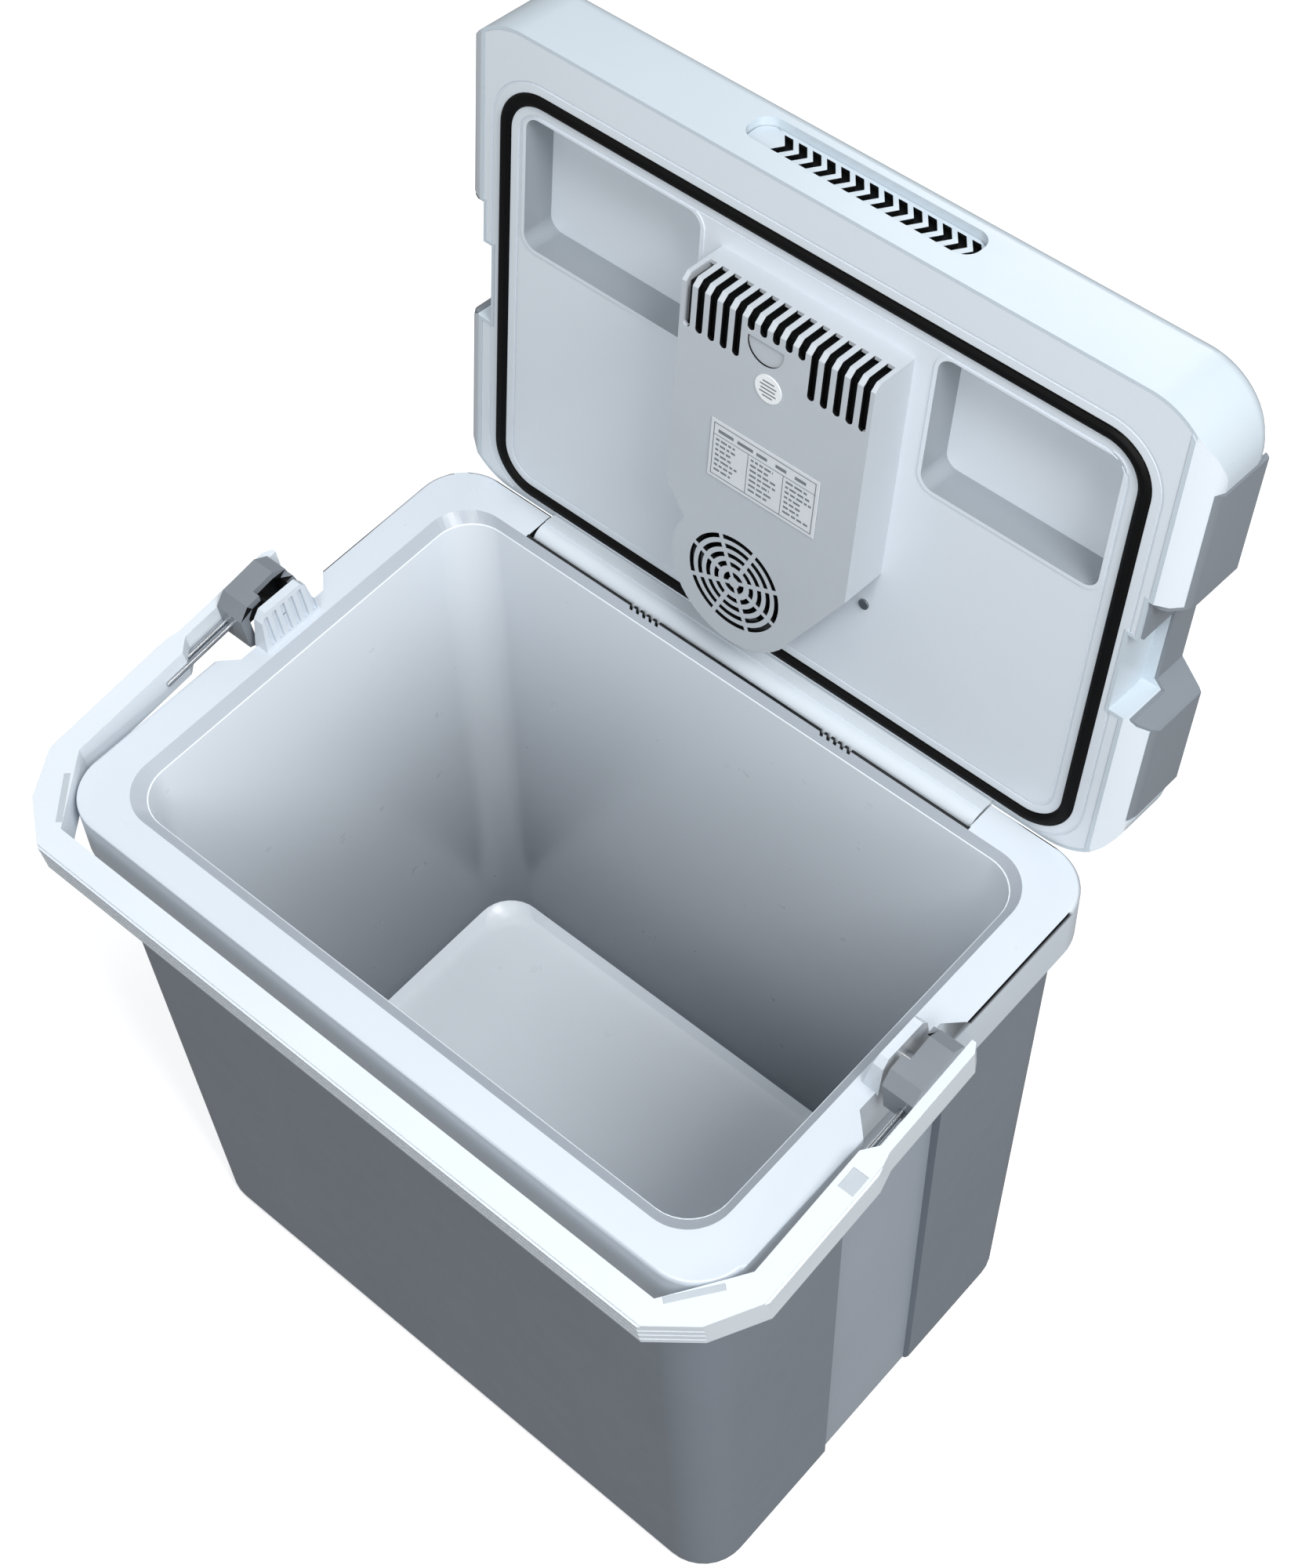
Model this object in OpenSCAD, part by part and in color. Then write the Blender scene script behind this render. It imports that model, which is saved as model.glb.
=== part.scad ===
// Thermoelectric cool box with a hinged lid and a folding carry handle.
// Frame: X to the right, Y to the back, Z up. The origin is on the floor, under the middle of the cabinet.
// The lid stands open at its stop and the handle lies folded to the front.
// Lid parts are drawn in the lid's own frame: X as above, V from the hinge axis towards the lid's front
// edge, and W from the hinge axis towards the lid's top. Handle parts are drawn about the handle's pivot.

/* [Cabinet] */
// Width of the cabinet at its foot
cab_foot_w = 412; // [400:1:418]
// Depth of the cabinet at its foot
cab_foot_d = 284; // [276:1:290]
// Width of the cabinet at its top
cab_top_w = 428; // [424:1:430]
// Depth of the cabinet at its top
cab_top_d = 300; // [296:1:302]
// Radius of the cabinet's upright corners
cab_r = 28; // [20:1:34]
// Thickness of the plastic walls
wall = 2.5; // [2:0.1:3]
// Depth of the sunken band on each short side
band_depth = 5; // [4.5:0.1:5.5]

/* [Rim] */
// Outer width of the rim frame
rim_w = 445; // [443:1:447]
// Outer depth of the rim frame
rim_d = 307; // [305:1:308]
// Height of the rim's top above the floor
rim_z = 415; // [405:1:425]
// Height of the rim's outer skirt
skirt_h = 35; // [25:1:38]

/* [Liner] */
// Width of the liner's mouth
liner_w = 387; // [380:1:388]
// Depth of the liner's mouth
liner_d = 256; // [250:1:257]
// Height of the cavity's floor above the object's foot
liner_floor_z = 58; // [40:1:70]

/* [Lid] */
// Opening angle of the lid at its stop
lid_open = 97.5; // [90:0.5:98]
// Width of the lid
lid_w = 446; // [444:1:446]
// Distance from the hinge axis to the lid's front edge
lid_front = 304; // [300:1:305]
// Distance from the hinge axis to the lid's rear edge
lid_rear = 7.4; // [7.2:0.1:9]
// Height of the lid's top above the hinge axis
lid_top = 59; // [57:1:60]
// Sideways place of the cooling unit's middle
unit_x = 6; // [4:1:7]

/* [Handle] */
// Distance from the pivot to the middle of the grip bar
bail_reach = 176.1; // [176:0.1:178]
// How far the folded handle droops below level
handle_droop = 6; // [5:0.5:7]

/* [Hidden] */
$fn = 48;

eps = 0.01;
gap = 0.3;
// cabinet
foot_z = 0;
foot_round = 8;
cab_top_z = rim_z - 5.8;
band_y0 = -37;
band_y1 = 42;
// hinge axis
hinge_y = 144.5;
hinge_z = rim_z - 8.5;
barrel_r = 9;
barrel_half = 151;
hinge_pin_r = 3;
pin_fit = 0.05;
trough_r = 10.5;
lug_x1 = 172;
// rim
rim_r = 30;
rim_edge = 2.5;
liner_lip_z = rim_z - 5.5;
mouth_y = 1;
mouth_r = 24;
band_w = 6;
notch_x = 211.5;
// ribbed pivot bosses on the rim
boss_x0 = 203;
boss_top_x = 207.6;
boss_x1 = 213;
boss_h = 24;
rib_count = 6;
// handle pivot
pivot_y = 4;
pivot_z = rim_z + 9;
pivot_pin_r = 4;
rod_r = 1.7;
rod_xs = [229, 233];
arm_x0 = 235.6;
shoulder_x = 229.4;
shoulder_y = -52;
arm_x1 = 244;
bar_t = 15;
bar_h = 21;
// lid
under_w = 9;
top_w = lid_top + 2.5;
lid_wall = 3;
lid_r = 40;
panel_t = 2.5;
panel_x = lid_w / 2 - panel_t;
notch_v0 = 108;
notch_v1 = 192.5;
notch_in = 206.9;
// pocket under the step, which takes the ribbed cheek
cheek_in = 201;
cheek_v0 = 116.5;
cheek_v1 = 167;
cheek_w = 37;
pocket_depth = 20;
bevel_x = 209.6;
gasket_x = 192.3;
gasket_v0 = 16;
gasket_v1 = 271;
gasket_w = 7;
// cooling unit, in the lid's frame
cover_face = -20;
fan_x = -4;
fan_v = 79;
slot_count = 15;
slot_pitch = 7.63;
slot_w = 4.2;
sink_v = 180;
switch_tilt = 7;

// ---- helpers ----
module rrect(w, d, r) {
    union() {
        square([w - 2 * r, d], center = true);
        square([w, d - 2 * r], center = true);
        for (sx = [-1, 1], sy = [-1, 1]) translate([sx * (w / 2 - r), sy * (d / 2 - r)]) circle(r);
    }
}
module slab(w, d, r, z, t = eps, y = 0) {
    translate([0, y, z]) linear_extrude(t) rrect(w, d, r);
}
// rounded rectangle whose sides lean inwards by inset from z0 to z1
module taper_slab(w, d, r, z0, z1, inset, y = 0) {
    h = z1 - z0;
    translate([0, y, z0]) union() {
        for (sx = [-1, 1], sy = [-1, 1]) translate([sx * (w / 2 - r), sy * (d / 2 - r), 0])
            cylinder(r1 = r, r2 = r - inset, h = h);
        translate([r - w / 2, 0, 0]) rotate([90, 0, 90]) linear_extrude(w - 2 * r)
            polygon([[-d / 2, 0], [d / 2, 0], [d / 2 - inset, h], [inset - d / 2, h]]);
        translate([0, d / 2 - r, 0]) rotate([90, 0, 0]) linear_extrude(d - 2 * r)
            polygon([[-w / 2, 0], [w / 2, 0], [w / 2 - inset, h], [inset - w / 2, h]]);
        // core that joins it to the slab below
        slab(w - 4, d - 4, r - 2, -0.3, 0.8);
    }
}
module both_sides() {
    children();
    mirror([1, 0, 0]) children();
}
module on_lid() {
    translate([0, hinge_y, hinge_z]) rotate([-lid_open, 0, 0]) mirror([0, 1, 0]) children();
}
module on_handle() {
    translate([0, pivot_y, pivot_z]) rotate([handle_droop, 0, 0]) children();
}
module x_cyl(r, x0, x1, y = 0, z = 0) {
    translate([x0, y, z]) rotate([0, 90, 0]) cylinder(r = r, h = x1 - x0);
}
// box from one corner to the opposite one
module span(a, b) {
    translate(a) cube(b - a);
}

// ---- cabinet ----
// tapered body, drawn smaller by inset on every side
module cab_body(inset, z0, z1) {
    grow = (cab_top_w - cab_foot_w) / (cab_top_z - foot_z);
    r = cab_r - inset;
    hull($fn = 32) {
        slab(cab_foot_w - 2 * inset - 2 * foot_round, cab_foot_d - 2 * inset - 2 * foot_round,
            r - foot_round / 2,
            z0, $fn = 32);
        slab(cab_foot_w - 2 * inset - foot_round * 0.6, cab_foot_d - 2 * inset - foot_round * 0.6, r,
            z0 + foot_round * 0.3,
            $fn = 32);
        slab(cab_foot_w - 2 * inset, cab_foot_d - 2 * inset, r, z0 + foot_round, $fn = 32);
        slab(cab_foot_w - 2 * inset + grow * (z1 - foot_z), cab_foot_d - 2 * inset + grow * (z1 - foot_z),
            r, z1 - eps,
            $fn = 32);
    }
}
// wedge that sinks the side band, right-hand side
module band_wedge(extra = 0) {
    x0 = cab_foot_w / 2 - band_depth + 1 - extra;
    x1 = cab_top_w / 2 - band_depth - extra;
    translate([0, band_y1 + extra, 0]) rotate([90, 0, 0]) linear_extrude(band_y1 - band_y0 + 2 * extra)
        polygon([[x0, -1], [x1, rim_z + 1], [250, rim_z + 1], [250, -1]]);
}
module outer_cabinet() {
    color("#6f757b") difference() {
        cab_body(0, foot_z, cab_top_z);
        both_sides() band_wedge();
        difference() {
            cab_body(wall, foot_z + wall, cab_top_z + 1);
            both_sides() band_wedge(wall);
        }
        // seats of the rubber feet
        rubber_foot_places() translate([0, 0, -1]) cylinder(r = 12, h = 2.4);
        // the hinge trough hangs into the back wall
        span([-lug_x1 - 2, 120, hinge_z - trough_r - 3.5], [lug_x1 + 2, 200, rim_z + 1]);
    }
}
module rubber_foot_places() {
    for (sx = [-1, 1], sy = [-1, 1]) translate([sx * 160, sy * 96, 0]) children();
}
module rubber_feet() {
    color("#2b2d30") rubber_foot_places() cylinder(r = 11.8, h = 1.4);
}

// ---- liner ----
// tub shape, drawn larger by grow on every side
module tub(grow, z_floor, z_top) {
    fillet = 14;
    foot_w = liner_w - 22;
    foot_d = liner_d - 36;
    hull() {
        slab(foot_w + 2 * grow - 2 * fillet, foot_d + 2 * grow - 2 * fillet, mouth_r - 6, z_floor,
            y = mouth_y, $fn = 32);
        slab(foot_w + 2 * grow - fillet, foot_d + 2 * grow - fillet, mouth_r - 2, z_floor + fillet * 0.13,
            y = mouth_y,
            $fn = 32);
        slab(foot_w + 2 * grow - fillet * 0.26, foot_d + 2 * grow - fillet * 0.26, mouth_r + grow,
            z_floor + fillet * 0.5,
            y = mouth_y, $fn = 32);
        slab(foot_w + 2 * grow, foot_d + 2 * grow, mouth_r + grow, z_floor + fillet, y = mouth_y, $fn = 32);
        slab(liner_w + 2 * grow, liner_d + 2 * grow, mouth_r + grow, z_top - eps, y = mouth_y, $fn = 32);
    }
}
module liner() {
    flange = 4;
    color("#bfc8cf") difference() {
        union() {
            tub(wall, liner_floor_z - wall, liner_lip_z);
            slab(liner_w + 2 * flange, liner_d + 2 * flange, mouth_r + flange, liner_lip_z - wall, wall,
                mouth_y);
        }
        tub(0, liner_floor_z, liner_lip_z + 1);
    }
}
module body_foam() {
    foam_top = hinge_z - trough_r - 4.5;
    color("#e8dcae") difference() {
        cab_body(wall + gap, foot_z + wall + gap, foam_top);
        both_sides() band_wedge(wall + gap);
        tub(wall + gap, liner_floor_z - wall - gap, liner_lip_z);
    }
}

// ---- rim ----
module cab_mouth(grow) {
    difference() {
        rrect(cab_top_w + 2 * grow, cab_top_d + 2 * grow, cab_r + grow);
        both_sides() translate([cab_top_w / 2 - band_depth + grow, band_y0 + grow])
            square([20, band_y1 - band_y0 - 2 * grow]);
    }
}
// ribbed cheek beside the right-hand pivot
module pivot_boss() {
    y0 = pivot_y - 20;
    pitch = 40 / (rib_count + 0.5);
    lean = atan((boss_top_x - boss_x0) / (boss_h + 1));
    difference() {
        translate([boss_x1, pivot_y, rim_z - 1]) rotate([90, 0, -90]) linear_extrude(boss_x1 - boss_x0)
            polygon([[-20, 0], [-17, boss_h - 4], [-13, boss_h + 1], [13, boss_h + 1], [17, boss_h - 4],
                [20, 0]]);
        // leaning inner face
        translate([boss_x0 + 0.3, y0 - 5, rim_z]) rotate([0, lean, 0]) translate([-20, 0, 0])
            cube([20, 50, 40]);
        // grooves that leave upright ribs
        for (i = [0:rib_count - 1])
            translate([boss_x0 + 0.3, y0 + pitch * (i + 0.75), rim_z + 2]) rotate([0, lean, 0])
                translate([-1, 0, 0]) cube([3.4, pitch * 0.5, boss_h - 4.5]);
    }
}
module rim_blank() {
    step = rim_edge / 3;
    slab(rim_w, rim_d, rim_r, rim_z - skirt_h, skirt_h - rim_edge);
    taper_slab(rim_w, rim_d, rim_r, rim_z - rim_edge, rim_z - step, step);
    taper_slab(rim_w - 2 * step, rim_d - 2 * step, rim_r - step, rim_z - step, rim_z, 2 * step);
}
module rim_mouth() {
    hull() {
        slab(liner_w + 0.6, liner_d + 0.6, mouth_r, liner_lip_z - 0.2, y = mouth_y, $fn = 48);
        slab(liner_w + 2 * band_w + 0.4, liner_d + 2 * band_w - 1, mouth_r + 2, rim_z + 0.1,
            y = mouth_y - 1.8, $fn = 48);
    }
}
// step in the rim's side around the handle pivot, right-hand side
module rim_notch() {
    translate([0, 0, rim_z - skirt_h - 1]) linear_extrude(skirt_h + 2)
        polygon([[notch_x, -28], [230, -46], [230, 52], [notch_x, 34]]);
}
module rim_frame() {
    color("#dfe8ee") difference() {
        union() {
            difference() {
                rim_blank();
                translate([0, 0, rim_z - skirt_h - 1]) linear_extrude(liner_lip_z - rim_z + skirt_h + 1)
                    cab_mouth(gap);
                both_sides() rim_notch();
            }
            both_sides() pivot_boss();
            // trough under the hinge barrel and the lugs beside it
            span([-lug_x1, 133.4, hinge_z - trough_r - 2.5], [lug_x1, rim_d / 2 - 0.6, liner_lip_z + 1]);
        }
        rim_mouth();
        x_cyl(trough_r, -barrel_half - 1, barrel_half + 1, hinge_y, hinge_z);
        span([-barrel_half - 1, hinge_y - trough_r + 0.4, hinge_z], [barrel_half + 1, 200, rim_z + 1]);
        x_cyl(hinge_pin_r, -lug_x1 + 2, lug_x1 - 2, hinge_y, hinge_z);
        both_sides() x_cyl(pivot_pin_r, boss_top_x, boss_x1 + 3, pivot_y, pivot_z);
        for (sx = [-1, 1], y = [-100, 100]) translate([sx * 218, y, rim_z - skirt_h - 1])
            cylinder(r = 1.45, h = 8.5);
        // drain and vent slots in the trough's front lip
        for (sx = [-1, 1], i = [0:4])
            translate([sx * 66 + (i - 2) * 4.5 - 1.2, hinge_y - trough_r - 2.4, hinge_z + 5])
                cube([2.4, 4, 10]);
    }
}
module rim_screws() {
    color("#b9bdc2") for (sx = [-1, 1], y = [-100, 100])
        translate([sx * 218, y, rim_z - skirt_h - 1]) union() {
            cylinder(r = 2.6, h = 1);
            cylinder(r = 1.4, h = 8);
        }
}
module hinge_pins() {
    color("#b9bdc2") both_sides() union() {
        x_cyl(hinge_pin_r, barrel_half - 16, lug_x1 - 2, hinge_y, hinge_z);
    }
}
module pivot_pin() {
    x_cyl(pivot_pin_r, boss_top_x + 0.1, 236.4, pivot_y, pivot_z);
}
module pivot_pin_left() { color("#c9cdd1") mirror([1, 0, 0]) pivot_pin(); }
module pivot_pin_right() { color("#c9cdd1") pivot_pin(); }

// ---- handle ----
module bail_outline() {
    y_out = -bail_reach - bar_t / 2;
    y_in = -bail_reach + bar_t / 2;
    difference() {
        polygon([[-arm_x1, shoulder_y - 6], [-arm_x1, -137], [-228, -165], [-204, y_out], [204, y_out],
            [228, -165],
            [arm_x1, -137], [arm_x1, shoulder_y - 6], [arm_x1 - 3, shoulder_y + 6], [arm_x1 - 3, 18],
                [arm_x1 - 6, 23],
            [6 - arm_x1, 23], [3 - arm_x1, 18], [3 - arm_x1, shoulder_y + 6]]);
        polygon([[-arm_x0, 30], [-arm_x0, shoulder_y + 6], [-shoulder_x, shoulder_y - 2],
            [-shoulder_x, -130],
            [-224.5, -137], [-202, y_in], [202, y_in], [224.5, -137], [shoulder_x, -130],
                [shoulder_x, shoulder_y - 2],
            [arm_x0, shoulder_y + 6], [arm_x0, 30]]);
    }
}
module handle_bail() {
    groove_y = -bail_reach - bar_t / 2;
    color("#e4edf2") on_handle() difference() {
        union() {
            translate([0, 0, -bar_h / 2]) linear_extrude(bar_h - 1.5) bail_outline();
            translate([0, 0, bar_h / 2 - 1.5]) linear_extrude(1.5) difference() {
                bail_outline();
                // softened outer top edge
                for (s = [-1, 1]) translate([s * (arm_x1 + 4), -60]) square([10.4, 200], center = true);
                translate([0, groove_y - 4]) square([500, 10.4], center = true);
            }
        }
        // three fine grooves around the front of the grip
        for (z = [-6.2, -1, 4.2]) {
            translate([0, groove_y, z]) cube([412, 3.4, 1.7], center = true);
            for (s = [-1, 1])
                translate([s * 216.5, (groove_y - 165) / 2 - 0.2, z]) rotate([0, 0, s * 37.8])
                    cube([31, 3.4, 1.7], center = true);
        }
        // sockets for the rods
        both_sides() for (x = rod_xs) translate([x, 0, -1]) rotate([90, 0, 0]) cylinder(r = rod_r, h = 70);
        // screws that hold the knuckles
        both_sides() for (z = [-6, 6]) x_cyl(1.5, arm_x0 - 1, arm_x1 - 5, -14, z);
        both_sides() translate([0, 0, -6]) linear_extrude(bar_h) insert_plan();
        both_sides() x_cyl(pivot_pin_r + 0.4, arm_x0 - 1, 236.8);
        // seat of the marker on the right-hand arm
        span([232.5, -74, bar_h / 2 - 0.8], [241.5, -62, bar_h / 2 + 1]);
    }
}
module handle_rods() {
    on_handle() for (x = rod_xs) translate([x, -20.8, -1]) rotate([90, 0, 0]) cylinder(r = rod_r, h = 49.2);
}
module handle_rods_left() { color("#aeb3b8") mirror([1, 0, 0]) handle_rods(); }
module handle_rods_right() { color("#aeb3b8") handle_rods(); }
// cap over the right-hand pivot, open towards the boss and below
module knuckle() {
    x0 = boss_x1 + 4;
    x1 = arm_x0;
    on_handle() difference() {
        translate([x0, 0, 0]) rotate([90, 0, 90]) linear_extrude(x1 - x0)
            polygon([[-22, -12], [-22, 11], [-15, 18], [9, 19], [17, 13], [19, 4], [19, -12], [15, -15],
                [-16, -15]]);
        // hollow under the cap
        translate([x0 - 1, 0, 0]) rotate([90, 0, 90]) linear_extrude(x1 - x0 - 4)
            polygon([[-16.5, -20], [-16.5, 8.5], [-12.5, 13.5], [7.5, 14.5], [12.5, 10], [14.5, 3],
                [14.5, -20]]);
        // step in the edge over the cheek
        span([x0 - 1, -6, 10], [x0 + 4.5, 30, 30]);
        x_cyl(pivot_pin_r + pin_fit, x0, x1 + 1);
        for (x = rod_xs) translate([x, -18, -1]) rotate([90, 0, 0]) cylinder(r = rod_r, h = 5);
        for (z = [-6, 6]) x_cyl(1.5, x1 - 3, x1 + 1, -14, z);
    }
}
module knuckle_left() { color("#84898f") mirror([1, 0, 0]) knuckle(); }
module knuckle_right() { color("#84898f") knuckle(); }
module knuckle_screws() {
    color("#b9bdc2") both_sides() on_handle() for (z = [-6, 6])
        x_cyl(1.5, arm_x0 - 2.5, arm_x1 - 5, -14, z);
}
// grey filler let into the bail's inner corner
module insert_plan() {
    polygon([[222.4, -142.6], [204.3, -165.6], [207, -167.8], [225.2, -144.8]]);
}
module corner_insert() {
    on_handle() translate([0, 0, -6]) linear_extrude(bar_h / 2 + 6) insert_plan();
}
module corner_insert_left() { color("#9aa0a6") mirror([1, 0, 0]) corner_insert(); }
module corner_insert_right() { color("#9aa0a6") corner_insert(); }
module grip_marker() {
    color("#a9afb5") on_handle() span([232.5, -74, bar_h / 2 - 0.8], [241.5, -62, bar_h / 2]);
}

// ---- lid ----
// plan of the lid, drawn smaller by inset on every side
module lid_plan(inset = 0) {
    translate([0, (lid_front + lid_rear) / 2])
        rrect(lid_w - 2 * inset, lid_front - lid_rear - 2 * inset, lid_r - inset);
}
// plan of the step around the pivot, right-hand side
module notch_plan(extra = 0) {
    polygon([[notch_in - extra, notch_v0 + 12 - extra], [notch_in - extra, notch_v1 + extra],
        [240, notch_v1 + extra],
        [240, notch_v0 - 17.2 - extra], [panel_x - extra, notch_v0 - extra]]);
}
module lid_slab(inset, lean, w0, w1) {
    taper_slab(lid_w - 2 * inset, lid_front - lid_rear - 2 * inset, lid_r - inset, w0, w1, lean,
        (lid_front + lid_rear) / 2);
}
// bevel under the lid's short sides
module edge_bevel(grow = 0) {
    both_sides() translate([0, 340, 0]) rotate([90, 0, 0]) linear_extrude(360)
        polygon([[bevel_x - grow, -5], [bevel_x - grow, under_w - 0.2 + grow * 0.4],
            [bevel_x + 6.5 - grow, under_w + 3 + grow],
            [bevel_x + 11.5 - grow, under_w + 9 + grow], [lid_w / 2 + 0.2, under_w + 14 + 2 * grow],
                [260, under_w + 14 + 2 * grow],
            [260, -5]]);
}
module cheek_pocket(extra = 0) {
    span([cheek_in - extra, cheek_v0 - extra, 0], [240, cheek_v1 + extra, cheek_w + extra]);
}
module lid_shell() {
    body_top = lid_top - 11;
    color("#dde7ed") on_lid() difference() {
        union() {
            // rounded over towards the top
            lid_slab(0, 0, under_w, body_top);
            lid_slab(0, 0.9, body_top, body_top + 4.2);
            lid_slab(0.9, 2.3, body_top + 4.2, body_top + 7.8);
            lid_slab(3.2, 3.6, body_top + 7.8, body_top + 10.1);
            lid_slab(6.8, 5.2, body_top + 10.1, lid_top);
            // raised middle of the top
            taper_slab(lid_w - 150, lid_front - lid_rear - 40, 20, lid_top, top_w, 3,
                (lid_front + lid_rear) / 2 + 4);
        }
        difference() {
            translate([0, 0, under_w - 1]) linear_extrude(lid_top - lid_wall - under_w + 1)
                lid_plan(lid_wall + 3);
            both_sides() translate([0, 0, under_w - 2]) linear_extrude(lid_top) notch_plan(lid_wall);
            both_sides() cheek_pocket(2.5);
            edge_bevel(3);
        }
        edge_bevel();
        // ledge that the inner panel sits in
        difference() {
            translate([0, 0, under_w - 1]) linear_extrude(4) lid_plan(lid_wall - 1);
            both_sides() translate([0, 0, under_w - 2]) linear_extrude(lid_top) notch_plan(lid_wall - 1);
            both_sides() cheek_pocket(2);
            edge_bevel(2.4);
        }
        both_sides() {
            translate([0, 0, under_w - 1]) linear_extrude(lid_top) notch_plan();
            cheek_pocket();
        }
        // seats of the side panels
        both_sides() span([panel_x, 42, under_w + 1.5], [240, 261, lid_top + 5]);
        // window of the front vent
        translate([unit_x + 1, lid_front + 5, 34.3]) rotate([90, 0, 0]) linear_extrude(20)
            rrect(134, 21.4, 9);
        // top intake
        translate([fan_x, fan_v, lid_top - 10]) cylinder(r = 40, h = 20);
        // inlets in the rear wall
        span([-176, lid_rear - 1, 22], [-146, lid_rear + 12, 42]);
        span([-122, lid_rear - 1, 24], [-96, lid_rear + 12, 40]);
        // switch and light
        span([110, 238, lid_top - 10], [134, 254, lid_top + 5]);
        translate([146, 246, lid_top - 10]) cylinder(r = 2.5, h = 20);
        // hinge web seat
        span([-barrel_half - 0.2, lid_rear - 1, under_w - 1],
            [barrel_half + 0.2, lid_rear + 3, under_w + 6]);
    }
}
module hinge_barrel() {
    color("#e3ecf1") on_lid() difference() {
        union() {
            x_cyl(barrel_r, -barrel_half, barrel_half);
            span([-barrel_half, 3.5, 1], [barrel_half, 9.6, under_w]);
            span([-barrel_half, lid_rear, under_w - 0.5], [barrel_half, 9.6, under_w + 5.8]);
        }
        both_sides() x_cyl(hinge_pin_r + pin_fit, barrel_half - 17, barrel_half + 1);
    }
}
module side_panel() {
    on_lid() difference() {
        translate([0, 0, under_w + 1.7]) linear_extrude(lid_top - 0.5 - under_w - 1.7) polygon([
            [panel_x + 0.1, 43], [panel_x + panel_t, 43], [panel_x + panel_t, notch_v0 - 1.5],
                [panel_x + 0.8, notch_v0 + 1],
            [notch_in + 1.6, notch_v0 + 13.4],
            [notch_in + 1.6, notch_v1 - panel_t], [panel_x + panel_t, notch_v1 - panel_t],
                [panel_x + panel_t, 260],
            [panel_x + 0.1, 260], [panel_x + 0.1, notch_v1 - 0.1], [notch_in + 0.1, notch_v1 - 0.1],
            [notch_in + 0.1, notch_v0 + 12.1], [panel_x + 0.1, notch_v0 + 0.2]]);
        // clear of the pocket for the cheek and of the bevel
        cheek_pocket(0.5);
        edge_bevel(0.3);
        // bevelled ends
        for (v = [43, 260]) translate([panel_x + panel_t + 2, v, 30]) rotate([0, 0, 45])
            cube([5, 5, 100], center = true);
    }
}
module lid_side_panel_left() { color("#8d949b") mirror([1, 0, 0]) side_panel(); }
module lid_side_panel_right() { color("#8d949b") side_panel(); }
// pocket beside the cooling unit
module pocket(side, grow, depth) {
    x_mid = side > 0 ? 128.7 : -122;
    w = side > 0 ? 103 : 113;
    translate([x_mid, 220.5, under_w - 1]) linear_extrude(depth + 1)
        rrect(w + 2 * grow, 79 + 2 * grow, 8 + grow);
}
// plan of the cooling unit's cover, drawn smaller by inset
module cover_plan(inset = 0) {
    offset(delta = -inset) union() {
        polygon([[-52, 250], [64, 250], [64, 112], [29, 54], [fan_x, 60], [-38, 100], [-52, 119]]);
        translate([fan_x, fan_v]) circle(41.5);
    }
}
module lid_inner_panel() {
    t = 2.2;
    color("#c3cbd2") on_lid() difference() {
        union() {
            difference() {
                translate([0, 0, under_w]) linear_extrude(t) lid_plan(lid_wall - 0.9);
                both_sides() translate([0, 0, under_w - 2]) linear_extrude(10) notch_plan(lid_wall - 0.9);
                both_sides() cheek_pocket(2.2);
                edge_bevel(2.6);
            }
            for (s = [-1, 1]) translate([0, 0, 0.5]) pocket(s, t, pocket_depth + t);
        }
        for (s = [-1, 1]) pocket(s, 0, pocket_depth);
        translate([0, 0, under_w - 1]) linear_extrude(30) cover_plan(3);
        // seat of the gasket
        translate([0, 0, under_w - 1]) linear_extrude(1.8) gasket_ring(gasket_w + 0.2);
        // fine line around the gasket
        translate([0, 0, under_w - 1]) linear_extrude(1.7) difference() {
            gasket_ring(19.5);
            gasket_ring(16.5);
        }
        // clear of the hinge web
        span([-barrel_half - 1, 0, 0], [barrel_half + 1, 10.2, 30]);
        translate([57, 86, 0]) cylinder(r = 1.3, h = 30);
    }
}
module gasket_ring(w) {
    len_v = gasket_v1 - gasket_v0;
    translate([0, (gasket_v0 + gasket_v1) / 2]) difference() {
        rrect(2 * gasket_x + w, len_v + w, 24 + w / 2);
        rrect(2 * gasket_x - w, len_v - w, 24 - w / 2);
    }
}
module lid_gasket() {
    color("#101214") on_lid() union() {
        translate([0, 0, under_w - 0.6]) linear_extrude(1.4) gasket_ring(gasket_w);
        translate([0, 0, under_w - 2.3]) linear_extrude(2) gasket_ring(gasket_w - 2.4);
    }
}
module lid_foam() {
    color("#e8dcae") on_lid() difference() {
        translate([0, 0, under_w + 2.5]) linear_extrude(27) lid_plan(lid_wall + 3.4);
        both_sides() linear_extrude(80) notch_plan(lid_wall + 0.5);
        both_sides() cheek_pocket(3);
        edge_bevel(3.4);
        for (s = [-1, 1]) pocket(s, 2.6, pocket_depth + 3.2);
        // bay of the cooling unit
        span([-58, 22, 0], [70, 330, 80]);
        span([-180, 0, 18], [-90, 48, 80]);
        span([-barrel_half - 2, 0, 0], [barrel_half + 2, 13, 30]);
        translate([unit_x + 1, lid_front, 34.3]) cube([140, 26, 30], center = true);
    }
}
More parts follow.
